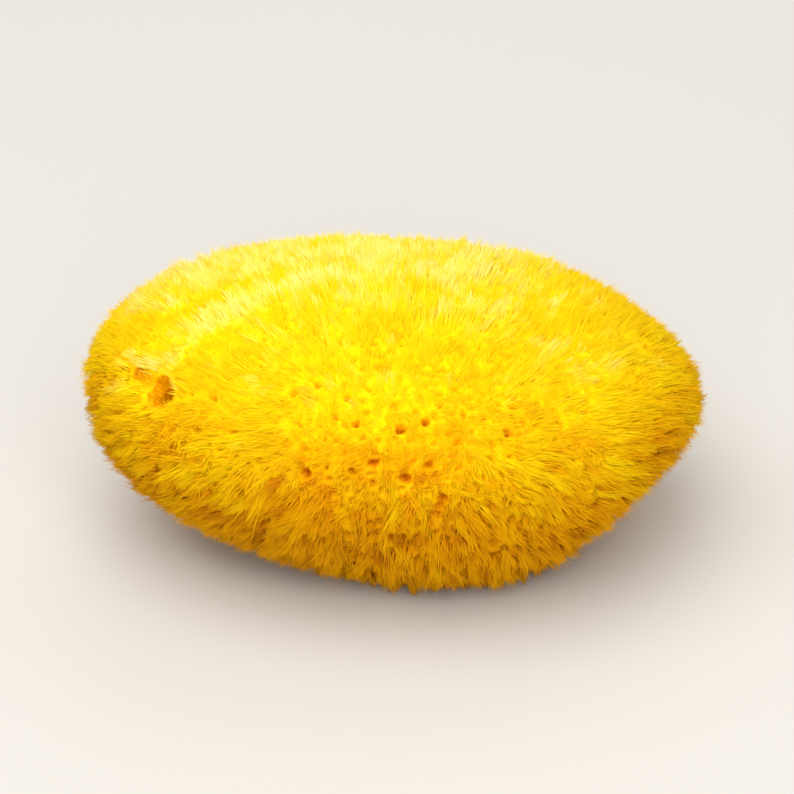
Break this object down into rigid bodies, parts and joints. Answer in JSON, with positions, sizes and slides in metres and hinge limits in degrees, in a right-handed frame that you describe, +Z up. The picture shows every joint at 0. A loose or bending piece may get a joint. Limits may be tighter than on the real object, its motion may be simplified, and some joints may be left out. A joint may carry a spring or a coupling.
{
  "type": "sea sponge",
  "caption": "Natural sea sponge for washing: a soft oval cushion covered in fine pointed tufts and pores, with larger round openings, trimmed flat underneath so that it stands.",
  "frame": {"origin": "on the flat cut underneath, below the middle of the sponge's box", "axes": "+Z up, away from the cut; +X along the length, to the narrower right end; -Y to the front, the side with the first opening on its left"},
  "size_m": [0.1, 0.07, 0.046],
  "materials": {
    "sponge": "soft matt bristly nap, bleached and dyed lemon to golden yellow, amber in the pores"
  },
  "bodies": {
    "root": {"sponge": "sponge"}
  },
  "joints": []
}
